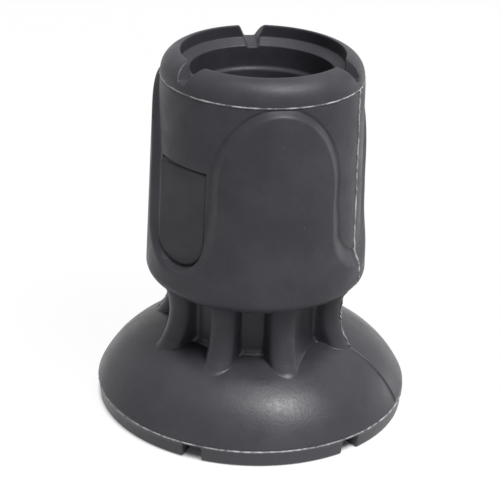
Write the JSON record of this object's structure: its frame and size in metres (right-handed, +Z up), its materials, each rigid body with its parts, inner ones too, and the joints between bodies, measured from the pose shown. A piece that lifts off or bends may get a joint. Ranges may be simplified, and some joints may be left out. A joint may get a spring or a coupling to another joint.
{
  "type": "rubber cane tip",
  "caption": "Moulded rubber tip for the end of a walking cane: round socket sleeve with raised arch panels, a waisted neck with upright ribs, and a wide domed non-slip foot.",
  "frame": {"origin": "middle of the foot's underside, on the floor", "axes": "+Z up along the bore toward its mouth; -Y is the middle of one raised arch panel"},
  "size_m": [0.0444, 0.0444, 0.0516],
  "materials": {
    "rubber": "satin moulded rubber"
  },
  "bodies": {
    "root": {"cane_tip": "rubber"}
  },
  "joints": []
}
